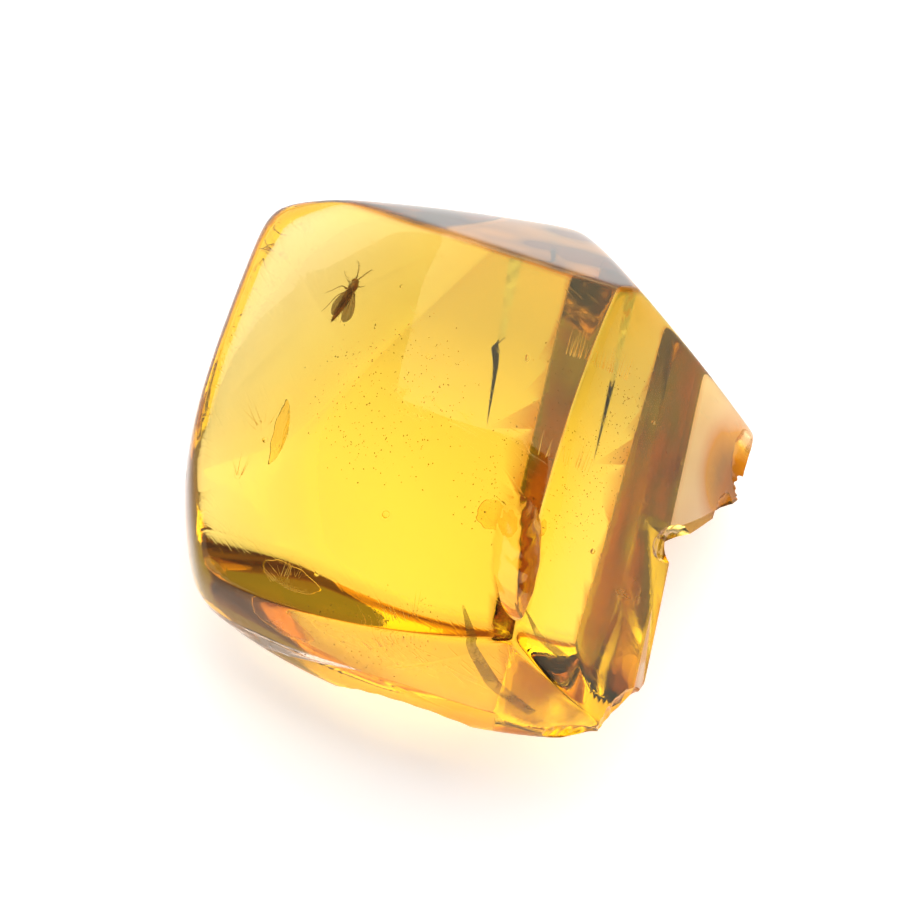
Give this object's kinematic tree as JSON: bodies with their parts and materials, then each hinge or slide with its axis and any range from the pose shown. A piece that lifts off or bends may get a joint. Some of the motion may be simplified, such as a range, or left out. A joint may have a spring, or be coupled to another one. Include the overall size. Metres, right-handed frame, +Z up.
{
  "type": "insect in amber",
  "caption": "Polished block of clear honey amber with worn facets, chipped edges and a broken corner, holding a small dark insect near its front face.",
  "frame": {"origin": "middle of the block's bounding box, on the flat ground base that it rests on", "axes": "+Z up from the base, +Y away from the large front face, +X to the right along the block's longest side"},
  "size_m": [0.0306, 0.03, 0.0156],
  "materials": {
    "amber": "polished, see-through, index 1.54"
  },
  "bodies": {
    "root": {"amber_block": "amber"}
  },
  "joints": []
}
